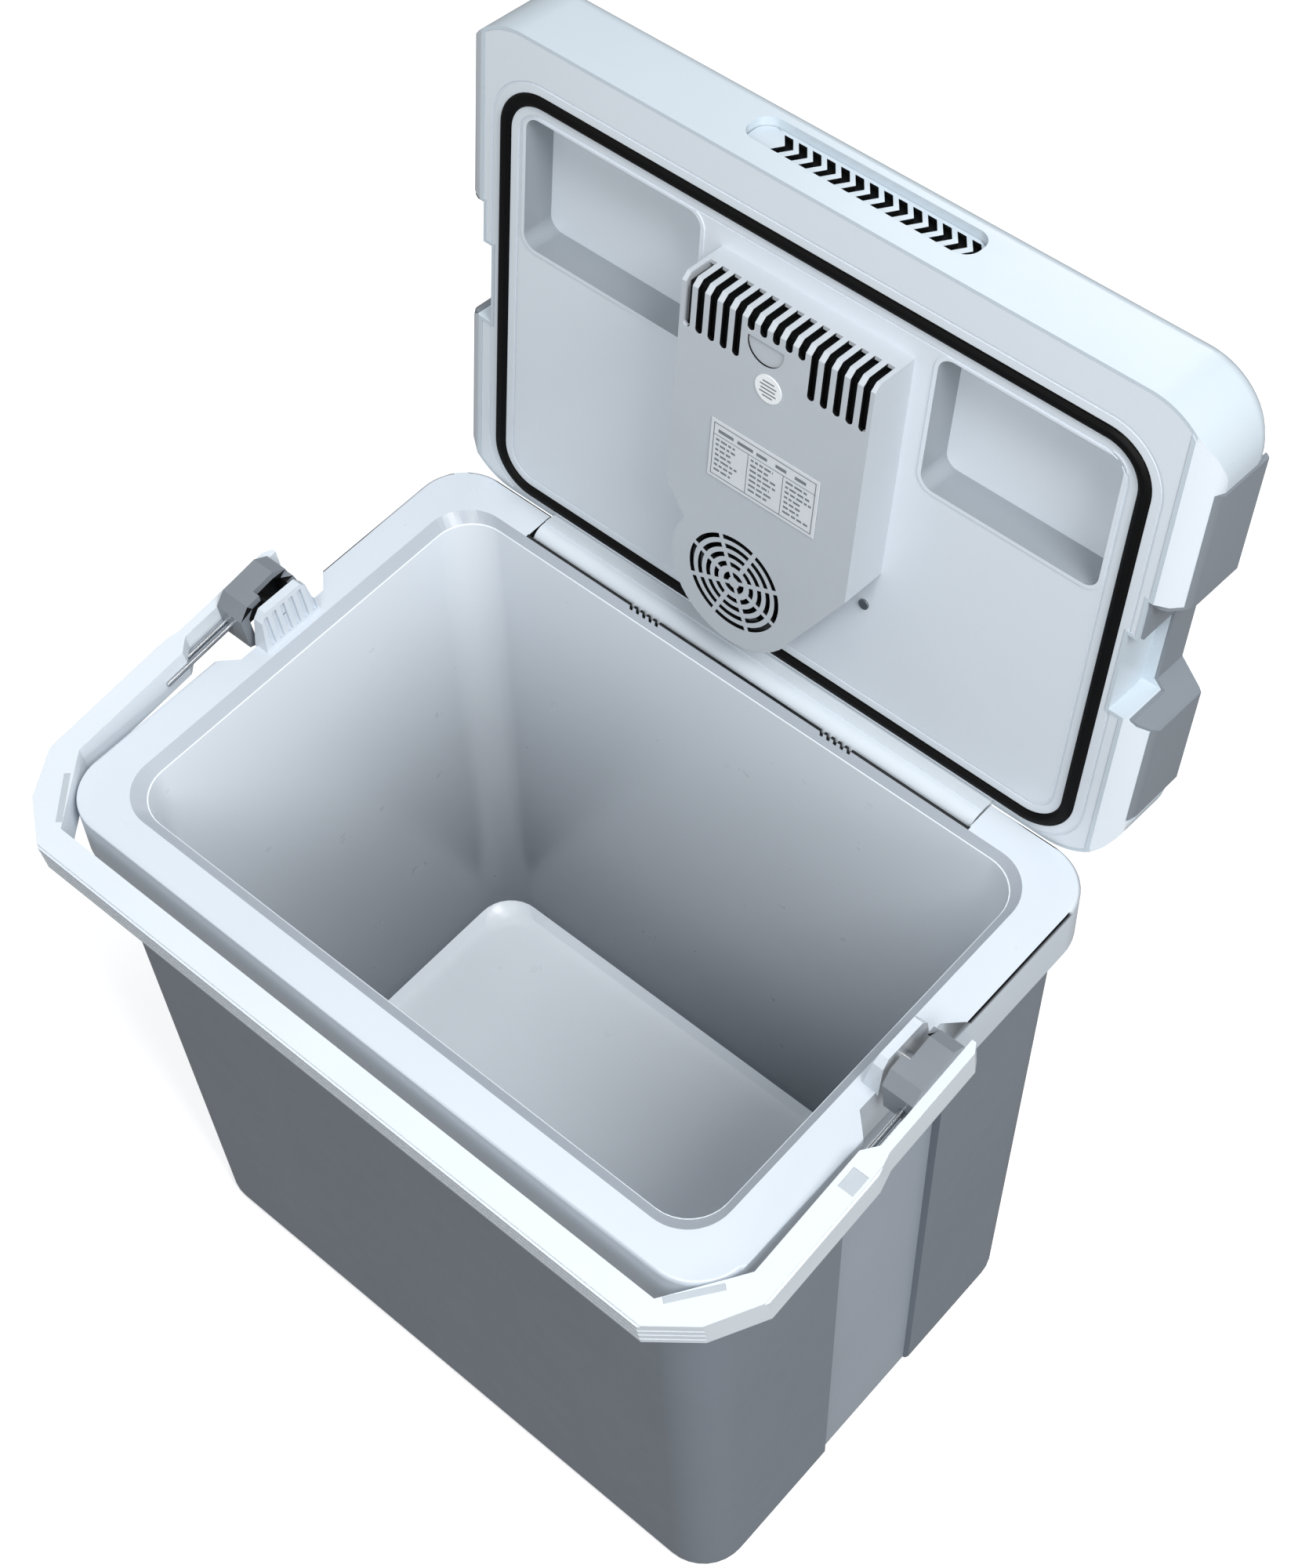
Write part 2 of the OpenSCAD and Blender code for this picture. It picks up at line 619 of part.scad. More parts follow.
// one slanted slot of the front vent, as a bent bar
module chevron() {
    bar = 4.6;
    polygon([[bar / 2, 0], [-3.2, -9.6], [-3.2 - bar * 0.9, -9.6], [-bar / 2, -0.4],
        [-6.4 - bar * 0.3, 6.2],
        [-6.4 + bar * 0.8, 6.2]]);
}
module front_vent() {
    color("#c8d2d9") on_lid() translate([unit_x + 1, 299, 34.3]) rotate([90, 0, 0]) difference() {
        linear_extrude(2.5) rrect(133.4, 20.8, 8.7);
        for (i = [0:13]) translate([-45.7 + i * 8.45, 1.8, -1]) linear_extrude(5) chevron();
    }
}
module ring_slots(radii, slot, spokes, spoke_w) {
    difference() {
        for (r = radii) difference() {
            circle(r + slot / 2);
            circle(r - slot / 2);
        }
        for (i = [0:spokes / 2 - 1]) rotate([0, 0, 22.5 + i * 360 / spokes])
            square([200, spoke_w], center = true);
    }
}
module top_grille() {
    color("#cbd5dc") on_lid() translate([fan_x, fan_v, lid_top - 2]) difference() {
        cylinder(r = 39.7, h = 4);
        translate([0, 0, -1]) linear_extrude(8) ring_slots([10, 17, 24, 31], 3.4, 8, 3);
    }
}

// ---- cooling unit ----
module unit_cover() {
    t = 2.2;
    color("#c9d1d8") on_lid() difference() {
        translate([0, 0, cover_face]) linear_extrude(under_w - cover_face) cover_plan();
        translate([0, 0, cover_face + t]) linear_extrude(40) cover_plan(t);
        // bevel along the front edge
        translate([unit_x, 250, cover_face]) rotate([45, 0, 0]) cube([130, 5, 5], center = true);
        for (i = [0:slot_count - 1]) {
            x = unit_x - (slot_count - 1) / 2 * slot_pitch + i * slot_pitch;
            v0 = (i < 5 || i > 9) ? 223 : 243;
            span([x - slot_w / 2, v0, cover_face - 1], [x + slot_w / 2, 256, cover_face + t + 0.5]);
            span([x - slot_w / 2, 246.8, cover_face - 1], [x + slot_w / 2, 256, -2.5]);
            translate([x, v0, cover_face - 1]) cylinder(r = slot_w / 2, h = t + 1.5, $fn = 24);
        }
        translate([fan_x, fan_v, cover_face - 1]) linear_extrude(t + 2)
            union() {
                ring_slots([11.5, 17, 22.5, 28], 2.7, 8, 2.6);
                ring_slots([5], 3.2, 4, 2.2);
            }
        // finger scoop
        intersection() {
            translate([0.5, 236, cover_face - 1]) cylinder(r = 11, h = 2);
            span([-20, 220, cover_face - 1], [20, 238, cover_face + 1]);
        }
    }
}
module rating_plate() {
    color("#d8dde1") on_lid() span([-27, 140, cover_face - 0.5], [41, 177, cover_face]);
}
module round_sticker() {
    color("#eef2f4") on_lid() translate([4.5, 213, cover_face - 0.4]) cylinder(r = 8, h = 0.4);
}
module cover_screw() {
    color("#6c7176") on_lid() translate([57, 86, under_w - 1.2]) union() {
        cylinder(r = 3, h = 1.2);
        cylinder(r = 1.3, h = 8);
    }
}
module unit_chassis() {
    color("#aab2b9") on_lid() difference() {
        span([-56, 24, under_w + 2.3], [68, 262, under_w + 4.6]);
        span([unit_x - 52, sink_v - 57, 0], [unit_x + 52, sink_v + 57, 30]);
        translate([fan_x, fan_v, 0]) cylinder(r = 16.2, h = 40);
        translate([57, 86, 0]) cylinder(r = 1.35, h = 40);
    }
}
module fins(w, len, h, n, t) {
    for (i = [0:n - 1]) translate([-w / 2 + i * (w - t) / (n - 1), -len / 2, 0]) cube([t, len, h]);
}
module cold_sink() {
    color("#b8bec4") on_lid() translate([unit_x, sink_v, 0]) union() {
        translate([-49, -54, 2]) cube([98, 108, 4]);
        translate([0, 0, -14]) fins(98, 108, 16.5, 17, 1.4);
    }
}
module spacer_block() {
    color("#b8bec4") on_lid() translate([unit_x - 20, sink_v - 20, 6]) cube([40, 40, 12]);
}
module peltier_module() {
    color("#f1f1ee") on_lid() translate([unit_x - 20, sink_v - 20, 18]) cube([40, 40, 4]);
}
module module_seal() {
    color("#33373b") on_lid() translate([unit_x, sink_v, 0]) difference() {
        translate([-48, -53, 6]) cube([96, 106, 16]);
        translate([-20.5, -20.5, 5]) cube([41, 41, 20]);
        for (sx = [-1, 1], sy = [-1, 1]) translate([sx * 28, sy * 28, 0]) cylinder(r = 2.2, h = 40);
    }
}
module hot_sink() {
    color("#b8bec4") on_lid() translate([unit_x, sink_v, 0]) difference() {
        union() {
            translate([-54, -58, 22]) cube([108, 116, 5]);
            translate([0, 0, 26.5]) fins(108, 116, 18, 19, 1.4);
        }
        for (sx = [-1, 1], sy = [-1, 1]) translate([sx * 28, sy * 28, 20]) cylinder(r = 2.1, h = 10);
    }
}
module sink_screws() {
    color("#9ea3a8") on_lid() translate([unit_x, sink_v, 0]) for (sx = [-1, 1], sy = [-1, 1])
        translate([sx * 28, sy * 28, 6]) cylinder(r = 2, h = 20);
}
module fan_motor() {
    color("#5b6168") on_lid() translate([fan_x, fan_v, 0]) difference() {
        union() {
            translate([0, 0, 2]) cylinder(r = 16, h = 28);
            translate([0, 0, under_w + 4.6]) cylinder(r = 22, h = 2.4);
        }
        translate([0, 0, 1]) cylinder(r = 1.55, h = 40);
    }
}
module motor_shaft() {
    color("#c9cdd1") on_lid() translate([fan_x, fan_v, -14]) cylinder(r = 1.5, h = 64);
}
module impeller(r, h) {
    difference() {
        union() {
            cylinder(r = 9, h = h);
            cylinder(r = r, h = 1.4);
            for (i = [0:10]) rotate([0, 0, i * 360 / 11]) translate([r * 0.62, 0, h / 2]) rotate([0, 0, 28])
                cube([r * 0.62, 1.3, h], center = true);
        }
        translate([0, 0, -1]) cylinder(r = 1.5, h = h + 2);
    }
}
module inner_impeller() {
    color("#2f3337") on_lid() translate([fan_x, fan_v, -1.5]) mirror([0, 0, 1]) impeller(33, 12);
}
module outer_impeller() {
    color("#2f3337") on_lid() translate([fan_x, fan_v, 34]) impeller(37, 15);
}

// ---- electrics ----
module control_board() {
    color("#2f6b46") on_lid() union() {
        span([-205, 56, 40], [-95, 106, 41.6]);
        color("#222529") span([-198, 62, 41.5], [-180, 74, 49]);
        color("#222529") span([-120, 62, 41.5], [-104, 100, 46]);
        for (x = [-168, -152, -136]) translate([x, 86, 41.5]) cylinder(r = 5, h = 11);
    }
}
module transformer() {
    color("#3b4046") on_lid() union() {
        span([-166, 60, 41.6], [-126, 78, 54]);
    }
}
module dc_inlet() {
    color("#1d2023") on_lid() difference() {
        span([-121.8, lid_rear + 0.5, 24.2], [-96.2, 34, 39.8]);
        span([-118, 0, 27], [-100, 24, 37]);
    }
}
module mains_inlet() {
    color("#1d2023") on_lid() difference() {
        span([-175.8, lid_rear + 0.5, 22.2], [-146.2, 36, 41.8]);
        span([-172, 0, 25], [-150, 26, 39]);
    }
}
module switch_bezel() {
    color("#2b2e32") on_lid() difference() {
        span([110.2, 238.2, lid_top - 6], [133.8, 253.8, lid_top + 3.3]);
        span([112.5, 240.5, lid_top - 4], [131.5, 251.5, lid_top + 6]);
        // bearings of the rocker's axle
        translate([122, 252.6, lid_top + 1.5]) rotate([90, 0, 0]) cylinder(r = 1.25, h = 13.2);
    }
}
module mode_switch() {
    color("#e9eef1") on_lid() translate([122, 246, lid_top + 1.5]) rotate([0, -switch_tilt, 0]) union() {
        difference() {
            translate([-8.6, -5, -3]) cube([17.2, 10, 6]);
            // dished to the middle
            translate([0, 0, 3]) rotate([0, switch_tilt, 0]) translate([0, -6, 0]) cube([12, 12, 4]);
        }
        // moulded axle
        translate([0, 6.3, 0]) rotate([90, 0, 0]) cylinder(r = 1.2, h = 12.6);
    }
}
module indicator_light() {
    color("#57c66b") on_lid() translate([146, 246, lid_top - 2]) union() {
        cylinder(r = 2.4, h = 5);
        translate([0, 0, 5]) cylinder(r1 = 2.4, r2 = 1.5, h = 1);
    }
}

outer_cabinet();
body_foam();
liner();
rim_frame();
rubber_feet();
rim_screws();
hinge_pins();
pivot_pin_left();
pivot_pin_right();
handle_bail();
handle_rods_left();
handle_rods_right();
knuckle_left();
knuckle_right();
corner_insert_left();
corner_insert_right();
grip_marker();
knuckle_screws();
lid_shell();
lid_inner_panel();
lid_foam();
lid_gasket();
lid_side_panel_left();
lid_side_panel_right();
hinge_barrel();
front_vent();
top_grille();
unit_cover();
rating_plate();
round_sticker();
cover_screw();
unit_chassis();
cold_sink();
spacer_block();
peltier_module();
module_seal();
hot_sink();
sink_screws();
fan_motor();
motor_shaft();
inner_impeller();
outer_impeller();
control_board();
transformer();
dc_inlet();
mains_inlet();
switch_bezel();
mode_switch();
indicator_light();
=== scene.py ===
import math
import random
import bpy
from mathutils import Matrix, Vector


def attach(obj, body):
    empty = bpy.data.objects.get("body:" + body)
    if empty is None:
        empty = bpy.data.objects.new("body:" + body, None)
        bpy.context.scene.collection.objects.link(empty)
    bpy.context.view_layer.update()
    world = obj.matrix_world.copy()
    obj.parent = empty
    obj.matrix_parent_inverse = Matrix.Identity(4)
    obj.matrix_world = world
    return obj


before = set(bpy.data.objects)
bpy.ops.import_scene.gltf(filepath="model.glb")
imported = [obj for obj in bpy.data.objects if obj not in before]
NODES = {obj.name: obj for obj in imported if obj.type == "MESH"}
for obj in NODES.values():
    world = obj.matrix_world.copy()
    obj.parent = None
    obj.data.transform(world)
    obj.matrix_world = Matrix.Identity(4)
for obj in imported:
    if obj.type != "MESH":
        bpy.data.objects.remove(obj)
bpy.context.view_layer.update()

# The lid's own frame: X across, Y from the hinge towards its front edge, Z towards its top.
# The handle's own frame lies at its pivot and droops with it.
HINGE = Vector((0.0, 0.1445, 0.4065))
OPEN = math.radians(97.5)
PIVOT = Vector((0.0, 0.004, 0.424))
DROOP = math.radians(6.0)
LID = Matrix.Translation(HINGE) @ Matrix.Rotation(-OPEN, 4, "X") @ Matrix.Diagonal((1, -1, 1, 1))
BAIL = Matrix.Translation(PIVOT) @ Matrix.Rotation(DROOP, 4, "X")

MM = 0.001           # one millimetre in metres; the two values below are in millimetres
HINGE_HALF = 152.5   # half the length of the hinge trough
FAN = (-4, 79)       # middle of both fan grilles, in the lid's frame


# ---------- materials ----------
def srgb(r, g, b):
    """A colour from its sRGB levels, as the linear values that the shader takes."""
    def lin(c):
        c /= 255.0
        return c / 12.92 if c <= 0.04045 else ((c + 0.055) / 1.055) ** 2.4
    return (lin(r), lin(g), lin(b), 1.0)


def shade(col, k):
    return (min(col[0] * k, 1), min(col[1] * k, 1), min(col[2] * k, 1), 1.0)


class Mat:
    """One procedural material, its texture coordinates in the object's own frame."""

    def __init__(self, name):
        self.material = bpy.data.materials.new(name)
        self.material.use_nodes = True
        self.tree = self.material.node_tree
        self.nodes = self.tree.nodes
        self.principled = self.nodes["Principled BSDF"]
        self.coords = self.nodes.new("ShaderNodeTexCoord")
        self.height = None

    def link(self, a, b):
        self.tree.links.new(a, b)

    def noise(self, scale, detail=3.0, rough=0.55, stretch=(1, 1, 1)):
        mapping = self.nodes.new("ShaderNodeMapping")
        mapping.inputs["Scale"].default_value = stretch
        self.link(self.coords.outputs["Object"], mapping.inputs["Vector"])
        x = self.nodes.new("ShaderNodeTexNoise")
        x.inputs["Scale"].default_value = scale
        x.inputs["Detail"].default_value = detail
        x.inputs["Roughness"].default_value = rough
        self.link(mapping.outputs["Vector"], x.inputs["Vector"])
        return x.outputs["Fac"]

    def cells(self, scale):
        x = self.nodes.new("ShaderNodeTexVoronoi")
        x.inputs["Scale"].default_value = scale
        self.link(self.coords.outputs["Object"], x.inputs["Vector"])
        return x.outputs["Distance"]

    def ramp(self, fac, stops):
        r = self.nodes.new("ShaderNodeValToRGB")
        e = r.color_ramp.elements
        while len(e) < len(stops):
            e.new(0.5)
        for el, (p, c) in zip(e, stops):
            el.position = p
            el.color = c if hasattr(c, "__len__") else (c, c, c, 1)
        self.link(fac, r.inputs["Fac"])
        return r.outputs["Color"]

    def mix(self, fac, a, b):
        x = self.nodes.new("ShaderNodeMix")
        x.data_type = "RGBA"
        self.link(fac, x.inputs["Factor"])
        for sock, v in ((x.inputs["A"], a), (x.inputs["B"], b)):
            if hasattr(v, "links"):
                self.link(v, sock)
            else:
                sock.default_value = v
        return x.outputs["Result"]

    def calc(self, op, a, b=0.0):
        x = self.nodes.new("ShaderNodeMath")
        x.operation = op
        for sock, v in zip(x.inputs, (a, b)):
            if hasattr(v, "links"):
                self.link(v, sock)
            else:
                sock.default_value = v
        return x.outputs["Value"]

    def axes(self, out="Object"):
        x = self.nodes.new("ShaderNodeSeparateXYZ")
        self.link(self.coords.outputs[out], x.inputs["Vector"])
        return x.outputs["X"], x.outputs["Y"], x.outputs["Z"]

    def tint(self, fac, col):
        """Mixes a further colour over what the base colour already is."""
        under = self.principled.inputs["Base Color"].links[0].from_socket
        self.colour(self.mix(fac, under, col))

    def bump(self, fac, strength, dist):
        x = self.nodes.new("ShaderNodeBump")
        x.inputs["Strength"].default_value = strength
        x.inputs["Distance"].default_value = dist
        self.link(fac, x.inputs["Height"])
        if self.height is not None:
            self.link(self.height, x.inputs["Normal"])
        self.height = x.outputs["Normal"]
        self.link(self.height, self.principled.inputs["Normal"])

    def colour(self, out):
        self.link(out, self.principled.inputs["Base Color"])

    def rough(self, fac, lo, hi):
        r = self.nodes.new("ShaderNodeMapRange")
        r.inputs["To Min"].default_value = lo
        r.inputs["To Max"].default_value = hi
        self.link(fac, r.inputs["Value"])
        self.link(r.outputs["Result"], self.principled.inputs["Roughness"])


def plastic(name, col, rough=0.4, grain=900, depth=0.00004, cloud=9, vary=0.03, spec=0.45, coat=0.0):
    m = Mat(name)
    big = m.noise(cloud, 2.0)
    fine = m.noise(grain, 3.0, 0.6)
    base = m.ramp(big, [(0.3, shade(col, 1 - vary)), (0.7, shade(col, 1 + vary))])
    speck = m.ramp(fine, [(0.25, 0.0), (0.8, 1.0)])
    dim = m.ramp(big, [(0.3, shade(col, 0.965 - vary)), (0.7, shade(col, 0.985))])
    m.colour(m.mix(speck, dim, base))
    m.rough(m.noise(60, 3.0), rough - 0.06, rough + 0.06)
    m.bump(m.cells(grain * 0.8), 0.35, depth)
    m.bump(fine, 0.3, depth)
    m.principled.inputs["Specular IOR Level"].default_value = spec
    m.principled.inputs["Coat Weight"].default_value = coat
    m.principled.inputs["Coat Roughness"].default_value = 0.2
    return m


def metal(name, col, rough=0.28, stretch=(1, 60, 60), scale=30, vary=0.08):
    m = Mat(name)
    g = m.noise(scale, 4.0, 0.6, stretch)
    m.colour(m.ramp(g, [(0.3, shade(col, 1 - vary)), (0.7, shade(col, 1 + vary * 0.5))]))
    m.rough(g, rough - 0.08, rough + 0.1)
    m.bump(g, 0.2, 0.00003)
    m.principled.inputs["Metallic"].default_value = 1.0
    return m


def foam_mat(name, col):
    m = Mat(name)
    c = m.cells(260)
    m.colour(m.ramp(c, [(0.1, shade(col, 0.86)), (0.6, shade(col, 1.0))]))
    m.rough(m.noise(200), 0.75, 0.95)
    m.bump(c, 0.8, 0.0006)
    return m


PALE = srgb(204, 213, 222)
MATERIALS = {
    "shell": plastic("pale shell plastic", srgb(194, 206, 215), 0.3, 1400, 0.00001, 7, 0.012, 0.5, 0.25),
    "bail": plastic("pale handle plastic", srgb(212, 220, 227), 0.33, 1300, 0.00001, 11, 0.015, 0.5, 0.15),
    "barrel": plastic("pale hinge plastic", srgb(204, 213, 221), 0.3, 1300, 0.00001, 30, 0.02, 0.5, 0.2),
    "cab": plastic("grained cabinet plastic", srgb(122, 130, 140), 0.42, 900, 0.00004, 6, 0.03, 0.4),
    # painted light: a lighter copy of the cabinet plastic for the side band
    "band": plastic("grained band plastic with painted light", srgb(160, 169, 180), 0.4, 900, 0.00004, 6, 0.03, 0.4),
    "liner": plastic("smooth liner plastic", srgb(226, 233, 240), 0.3, 1500, 0.00001, 5, 0.012, 0.4, 0.1),
    "panel": plastic("inner panel plastic", srgb(214, 222, 230), 0.34, 1300, 0.000012, 6, 0.015, 0.4, 0.1),
    "cover": plastic("unit cover plastic", srgb(186, 193, 200), 0.45, 1100, 0.00003, 14, 0.02, 0.4),
    # painted shade: a darker copy of the panel plastic for the pocket walls
    "wall": plastic("pocket wall plastic with painted shade", srgb(144, 151, 158), 0.32, 1300, 0.000012, 6, 0.015,
                    0.45, 0.15),
    # painted shade: a darker copy of the rim plastic for the mouth's lip
    "lip": plastic("mouth lip plastic with painted shade", srgb(170, 178, 187), 0.32, 1300, 0.00001, 9, 0.015, 0.45, 0.2),
    "side": plastic("grey side plastic", srgb(126, 133, 141), 0.4, 1000, 0.00003, 12, 0.03, 0.4),
    "knuckle": plastic("dark grey cap plastic", srgb(124, 130, 137), 0.36, 1100, 0.00003, 40, 0.04, 0.4),
    "insert": plastic("grey insert plastic", srgb(178, 186, 193), 0.45, 1100, 0.00003, 60, 0.04, 0.4),
    # black plastic for the black parts, also used as painted shade in slots, the hinge trough and the
    # knuckle hollows
    "black": plastic("black plastic and painted shade", srgb(11, 12, 13), 0.5, 1200, 0.00003, 40, 0.08, 0.2),
    "rubber": plastic("black rubber", srgb(5, 5, 6), 0.6, 1500, 0.00003, 60, 0.12, 0.15),
    "foam": foam_mat("insulating foam", srgb(232, 220, 176)),
    "steel": metal("bright steel", srgb(205, 208, 212)),
    "rod": metal("drawn rod steel", srgb(190, 194, 199), 0.24, (60, 1, 60)),
    "alu": metal("extruded aluminium", srgb(196, 199, 203), 0.4, (60, 1, 60), 24, 0.1),
    "ceramic": plastic("ceramic plate", srgb(238, 238, 232), 0.6, 700, 0.00003, 90, 0.03),
    "board": plastic("circuit board lacquer", srgb(46, 108, 70), 0.35, 500, 0.00004, 120, 0.18),
    "foil": plastic("label foil", srgb(214, 219, 224), 0.3, 700, 0.000005, 60, 0.02, 0.5, 0.3),
    "paper": plastic("sticker paper", srgb(236, 240, 243), 0.5, 700, 0.000005, 60, 0.02),
    "ink": plastic("grey print ink", srgb(120, 126, 132), 0.5, 600, 0.000003, 90, 0.08),
    "switch": plastic("switch plastic", srgb(232, 236, 239), 0.25, 900, 0.000005, 60, 0.02, 0.5, 0.4),
    "motor": metal("zinced motor can", srgb(150, 153, 157), 0.35, (1, 60, 60)),
}
lens = plastic("green lens", srgb(86, 190, 104), 0.15, 400, 0.000004, 200, 0.1, 0.6, 0.5)
lens.principled.inputs["Transmission Weight"].default_value = 0.25
MATERIALS["lens"] = lens


def paint_tub_shade(tub):
    """Painted shade: the tub's walls are painted darker towards its floor; the floor itself keeps its tone.
    """
    start_height, gain, steepest_floor = 0.42, 2.7, 0.6
    depth = tub.calc("SUBTRACT", start_height, tub.axes()[2])
    upright = tub.calc("LESS_THAN", tub.axes("Normal")[2], steepest_floor)
    tub.tint(tub.calc("MULTIPLY", tub.calc("MULTIPLY", depth, gain), upright), srgb(98, 104, 112))


def hinge_gap_shadow(rim):
    """A dark line of painted shadow runs along the front of the hinge barrel."""
    gap_y, half_width = 0.1336, 0.0012
    x, y = rim.axes()[:2]
    near = rim.calc("LESS_THAN", rim.calc("ABSOLUTE", rim.calc("SUBTRACT", y, gap_y)), half_width)
    along = rim.calc("LESS_THAN", rim.calc("ABSOLUTE", x), HINGE_HALF * MM)
    rim.tint(rim.calc("MULTIPLY", near, along), srgb(14, 15, 16))


# painted shade: the tub's walls darken towards the floor
paint_tub_shade(MATERIALS["liner"])
MATERIALS["rim"] = plastic("pale rim plastic", PALE, 0.3, 1400, 0.00001, 7, 0.012, 0.5, 0.25)
# painted shadow: a dark line on the rim in front of the hinge barrel
hinge_gap_shadow(MATERIALS["rim"])

LOOK = {
    "outer_cabinet": "cab", "body_foam": "foam", "liner": "liner", "rim_frame": "rim",
    "rubber_feet": "rubber", "rim_screws": "steel", "hinge_pins": "steel", "pivot_pin_left": "steel",
    "pivot_pin_right": "steel", "handle_bail": "bail", "handle_rods_left": "rod",
    "handle_rods_right": "rod", "knuckle_left": "knuckle", "knuckle_right": "knuckle",
    "corner_insert_left": "insert", "corner_insert_right": "insert", "grip_marker": "insert",
    "knuckle_screws": "steel", "lid_shell": "shell", "lid_inner_panel": "panel", "lid_foam": "foam",
    "lid_gasket": "rubber", "lid_side_panel_left": "side", "lid_side_panel_right": "side",
    "hinge_barrel": "barrel", "front_vent": "shell", "top_grille": "shell", "unit_cover": "cover",
    "rating_plate": "foil", "round_sticker": "paper", "cover_screw": "motor", "unit_chassis": "panel",
    "cold_sink": "alu", "spacer_block": "alu", "peltier_module": "ceramic", "module_seal": "black",
    "hot_sink": "alu", "sink_screws": "steel", "fan_motor": "motor", "motor_shaft": "steel",
    "inner_impeller": "black", "outer_impeller": "black", "control_board": "board",
    "transformer": "black", "dc_inlet": "black", "mains_inlet": "black", "switch_bezel": "black",
    "mode_switch": "switch", "indicator_light": "lens",
}
# Width of the softened edges in metres; what isn't listed gets FINE_EDGE
FINE_EDGE = 0.0003
BEVEL = {
    "outer_cabinet": 0.0008, "liner": 0.0006, "rim_frame": 0.0008, "handle_bail": 0.0020,
    "knuckle_left": 0.0026, "knuckle_right": 0.0026, "lid_shell": 0.0009, "lid_inner_panel": 0.0016,
    "lid_gasket": 0.0012, "lid_side_panel_left": 0.0009, "lid_side_panel_right": 0.0009,
    "hinge_barrel": 0.0006, "unit_cover": 0.0005, "top_grille": 0.0004,
}


def finish_mesh(o, width, angle=math.radians(30)):
    """Welds, softens the sharp edges and shades smooth, all with modifiers."""
    weld = o.modifiers.new("weld", "WELD")
    weld.merge_threshold = 0.00002
    bevel = o.modifiers.new("soft edges", "BEVEL")
    bevel.width = width
    bevel.segments = 2
    bevel.limit_method = "ANGLE"
    bevel.angle_limit = angle
    bevel.use_clamp_overlap = True
    for p in o.data.polygons:
        p.use_smooth = True
    bpy.context.view_layer.objects.active = o
    for x in bpy.context.selected_objects:
        x.select_set(False)
    o.select_set(True)
    bpy.ops.object.shade_auto_smooth(angle=angle)
    even = o.modifiers.new("even shading", "WEIGHTED_NORMAL")
    even.keep_sharp = True
    even.weight = 80
    o.select_set(False)


for name, o in NODES.items():
    o.data.materials.clear()
    o.data.materials.append(MATERIALS[LOOK[name]].material)
    if o.data.has_custom_normals:
        bpy.context.view_layer.objects.active = o
        bpy.ops.mesh.customdata_custom_splitnormals_clear()
    finish_mesh(o, BEVEL.get(name, FINE_EDGE))


# ---------- faces with a second material ----------
def paint(node, look, test, space=Matrix()):
    """Gives a further material to the faces that pass test(centre in mm, normal) in a given space."""
    me = NODES[node].data
    me.materials.append(MATERIALS[look].material)
    index = len(me.materials) - 1
    inward = space.inverted()
    turn = inward.to_3x3()
    for p in me.polygons:
        if test((inward @ p.center) / MM, turn @ p.normal):
            p.material_index = index


def from_fan(c):
    return math.hypot(c.x - FAN[0], c.y - FAN[1])


def side_band_light(c, n):
    return abs(c.x) > 196 and -37.1 < c.y < 42.1 and abs(n.x) > 0.9


def mouth_lip_shade(c, n):
    """The slanted lip around the tub's mouth, painted a darker grey as shade."""
    facing_in = -c.x * n.x - (c.y + 1) * n.y > 0
    return 409.2 < c.z < 414.9 and abs(c.x) < 200.5 and abs(c.y) < 135.5 and 0.3 < n.z < 0.95 and facing_in


def hinge_trough_shade(c, n):
    from_axis = math.hypot(c.y - HINGE.y / MM, c.z - HINGE.z / MM)
    return abs(c.x) < HINGE_HALF and c.y > 133.5 and c.z < 413.5 and from_axis < 11.2


def vent_slot_shade(c, n):
    return abs(n.y) < 0.5 and abs(c.z - 34.3) < 10.1


def intake_slot_shade(c, n):
    return abs(n.z) < 0.5 and from_fan(c) < 38.5


def cover_slot_shade(c, n):
    """Louvres from the top bevel down, their rounded ends, and the rings in front of the fan; their walls
    are painted black as shade.
    """
    across = -47 < c.x < 59.5
    side = across and 222 < c.y < 249.5 and abs(n.x) > 0.9
    end = across and 220.5 < c.y < 243.5 and abs(n.z) < 0.3 and n.y > 0.1
    ring = from_fan(c) < 30.5 and abs(n.z) < 0.5
    return c.z < 0 and (side or end or ring)


def edge_bevel(c, n):
    """The bevel under the lid's short sides."""
    return abs(c.x) > 208.5 and c.z < 23.5 and n.z < -0.15 and abs(n.x) > 0.2


def pocket_wall_shade(c, n):
    """The lower and the left wall of each pocket, painted darker as shade."""
    right, left = 77 < c.x < 180.5, -178.8 < c.x < -65.2
    return 181 < c.y < 260.2 and 10.5 < c.z < 28.5 and (right or left) and abs(n.z) < 0.6 \
        and (n.y > 0.3 or n.x > 0.3)


def knuckle_hollow_shade(c, n):
    return abs(c.x) < 232 and -16.8 < c.y < 14.8 and c.z < 14.7


# painted light: the recessed band on each side of the cabinet gets a lighter copy of the cabinet plastic
paint("outer_cabinet", "band", side_band_light)
# painted shade: the slanted lip round the mouth gets a darker copy of the rim plastic
paint("rim_frame", "lip", mouth_lip_shade)
# painted shade: the hinge trough behind the barrel is painted black
paint("rim_frame", "black", hinge_trough_shade)
# painted shade: the walls of the vent's slots, the cover's louvres and the grille's openings are painted
# black
paint("front_vent", "black", vent_slot_shade, LID)
paint("unit_cover", "black", cover_slot_shade, LID)
paint("top_grille", "black", intake_slot_shade, LID)
paint("lid_shell", "panel", edge_bevel, LID)
# painted shade: the pocket walls get a darker copy of the panel plastic
paint("lid_inner_panel", "wall", pocket_wall_shade, LID)
# painted shade: the hollows inside the handle's knuckles are painted black
for side in ("left", "right"):
    paint("knuckle_" + side, "black", knuckle_hollow_shade, BAIL)


